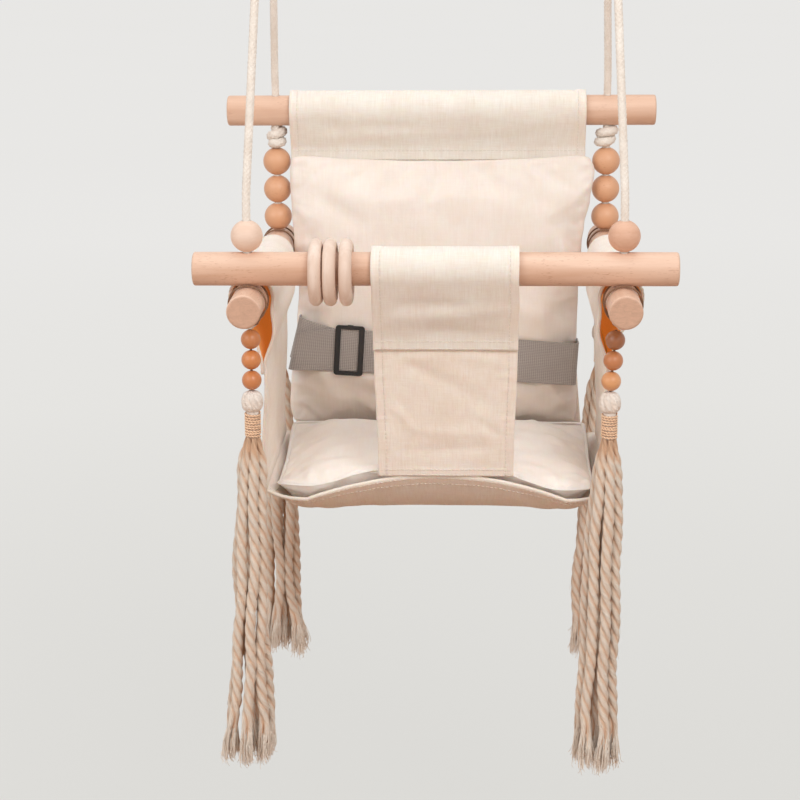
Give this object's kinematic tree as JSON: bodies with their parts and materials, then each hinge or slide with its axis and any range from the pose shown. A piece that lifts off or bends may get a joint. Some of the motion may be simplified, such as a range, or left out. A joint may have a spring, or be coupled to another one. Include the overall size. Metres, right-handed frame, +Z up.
{
  "type": "toddler bucket swing",
  "caption": "Hanging toddler bucket swing: wooden dowel frame, canvas seat with pads and waist belt, wooden beads, toy rings and cotton tassels on ropes.",
  "frame": {"origin": "midway between the two hanging pivots, where each rope's middle hangs over the lowest wire of its ring", "axes": "+X to the swing's right as seen from its front, +Y from the front bar to the back, +Z up"},
  "size_m": [0.4, 0.34, 0.9475],
  "materials": {
    "ring_steel": "satin",
    "cotton_rope": "matte",
    "beech": "matte",
    "bead_beech": "satin",
    "toy_ring_wood": "satin",
    "canvas": "matte",
    "pad_fabric": "matte",
    "webbing": "matte",
    "black_plastic": "satin",
    "bead_oiled": "satin",
    "bead_cord": "matte",
    "jute": "matte",
    "tassel_cotton": "matte"
  },
  "bodies": {
    "hanging_rings": {"hanging_ring_left": "ring_steel", "hanging_ring_right": "ring_steel"},
    "seat": {"rope_left": "cotton_rope", "rope_right": "cotton_rope", "bar_knot_left": "cotton_rope", "bar_knot_right": "cotton_rope", "stopper_knot_front_left": "cotton_rope", "stopper_knot_front_right": "cotton_rope", "stopper_knot_rear_left": "cotton_rope", "stopper_knot_rear_right": "cotton_rope", "front_bar": "beech", "rear_bar": "beech", "side_bar_left": "beech", "side_bar_right": "beech", "canvas_back": "canvas", "canvas_seat": "canvas", "canvas_side_left": "canvas", "canvas_side_right": "canvas", "crotch_panel": "canvas", "back_pad": "pad_fabric", "seat_pad": "pad_fabric", "belt": "webbing"},
    "toy_ring_1": {"toy_ring_1": "toy_ring_wood"},
    "toy_ring_2": {"toy_ring_2": "toy_ring_wood"},
    "toy_ring_3": {"toy_ring_3": "toy_ring_wood"},
    "front_bead_left": {"front_bead_left": "bead_beech"},
    "front_bead_right": {"front_bead_right": "bead_beech"},
    "rear_bead_left_1": {"rear_bead_left_1": "bead_beech"},
    "rear_bead_left_2": {"rear_bead_left_2": "bead_beech"},
    "rear_bead_left_3": {"rear_bead_left_3": "bead_beech"},
    "rear_bead_right_1": {"rear_bead_right_1": "bead_beech"},
    "rear_bead_right_2": {"rear_bead_right_2": "bead_beech"},
    "rear_bead_right_3": {"rear_bead_right_3": "bead_beech"},
    "tassel_front_left": {"bead_cord_front_left": "bead_cord", "small_beads_front_left": "bead_oiled", "tassel_head_front_left": "tassel_cotton", "twine_wrap_front_left": "jute", "strands_front_left": "tassel_cotton"},
    "tassel_front_right": {"bead_cord_front_right": "bead_cord", "small_beads_front_right": "bead_oiled", "tassel_head_front_right": "tassel_cotton", "twine_wrap_front_right": "jute", "strands_front_right": "tassel_cotton"},
    "tassel_rear_left": {"bead_cord_rear_left": "bead_cord", "small_beads_rear_left": "bead_oiled", "tassel_head_rear_left": "tassel_cotton", "twine_wrap_rear_left": "jute", "strands_rear_left": "tassel_cotton"},
    "tassel_rear_right": {"bead_cord_rear_right": "bead_cord", "small_beads_rear_right": "bead_oiled", "tassel_head_rear_right": "tassel_cotton", "twine_wrap_rear_right": "jute", "strands_rear_right": "tassel_cotton"},
    "slider": {"slider_buckle": "black_plastic"}
  },
  "joints": [
    {"name": "swing", "type": "hinge", "parent": "hanging_rings", "child": "seat", "pos_m": [0, 0, 0], "axis": [1, 0, 0], "range_deg": [-35, 35]},
    {"name": "toy_ring_1_turn", "type": "hinge", "parent": "seat", "child": "toy_ring_1", "pos_m": [0, -0.13, -0.44], "axis": [1, 0, 0], "continuous": true},
    {"name": "toy_ring_2_turn", "type": "hinge", "parent": "seat", "child": "toy_ring_2", "pos_m": [0, -0.13, -0.44], "axis": [1, 0, 0], "continuous": true},
    {"name": "toy_ring_3_turn", "type": "hinge", "parent": "seat", "child": "toy_ring_3", "pos_m": [0, -0.13, -0.44], "axis": [1, 0, 0], "continuous": true},
    {"name": "front_bead_left_spin", "type": "hinge", "parent": "seat", "child": "front_bead_left", "pos_m": [-0.155, -0.13, -0.41245], "axis": [0, 0, 1], "continuous": true},
    {"name": "front_bead_right_spin", "type": "hinge", "parent": "seat", "child": "front_bead_right", "pos_m": [0.155, -0.13, -0.41245], "axis": [0, 0, 1], "continuous": true},
    {"name": "rear_bead_left_1_spin", "type": "hinge", "parent": "seat", "child": "rear_bead_left_1", "pos_m": [-0.155, 0.13, -0.441], "axis": [0, 0, 1], "continuous": true},
    {"name": "rear_bead_left_2_spin", "type": "hinge", "parent": "seat", "child": "rear_bead_left_2", "pos_m": [-0.155, 0.13, -0.4147], "axis": [0, 0, 1], "continuous": true},
    {"name": "rear_bead_left_3_spin", "type": "hinge", "parent": "seat", "child": "rear_bead_left_3", "pos_m": [-0.155, 0.13, -0.3884], "axis": [0, 0, 1], "continuous": true},
    {"name": "rear_bead_right_1_spin", "type": "hinge", "parent": "seat", "child": "rear_bead_right_1", "pos_m": [0.155, 0.13, -0.441], "axis": [0, 0, 1], "continuous": true},
    {"name": "rear_bead_right_2_spin", "type": "hinge", "parent": "seat", "child": "rear_bead_right_2", "pos_m": [0.155, 0.13, -0.4147], "axis": [0, 0, 1], "continuous": true},
    {"name": "rear_bead_right_3_spin", "type": "hinge", "parent": "seat", "child": "rear_bead_right_3", "pos_m": [0.155, 0.13, -0.3884], "axis": [0, 0, 1], "continuous": true},
    {"name": "tassel_front_left_swing", "type": "hinge", "parent": "seat", "child": "tassel_front_left", "pos_m": [-0.154, -0.13, -0.4919], "axis": [1, 0, 0], "range_deg": [-24, 2]},
    {"name": "tassel_front_right_swing", "type": "hinge", "parent": "seat", "child": "tassel_front_right", "pos_m": [0.15, -0.13, -0.4919], "axis": [1, 0, 0], "range_deg": [-24, 2]},
    {"name": "tassel_rear_left_swing", "type": "hinge", "parent": "seat", "child": "tassel_rear_left", "pos_m": [-0.156, 0.13, -0.4919], "axis": [1, 0, 0], "range_deg": [-2, 24]},
    {"name": "tassel_rear_right_swing", "type": "hinge", "parent": "seat", "child": "tassel_rear_right", "pos_m": [0.156, 0.13, -0.4919], "axis": [1, 0, 0], "range_deg": [-2, 24]},
    {"name": "slider_slide", "type": "slide", "parent": "seat", "child": "slider", "axis": [0.9981, 0, -0.061], "range_m": [-0.012, 0.012]}
  ]
}
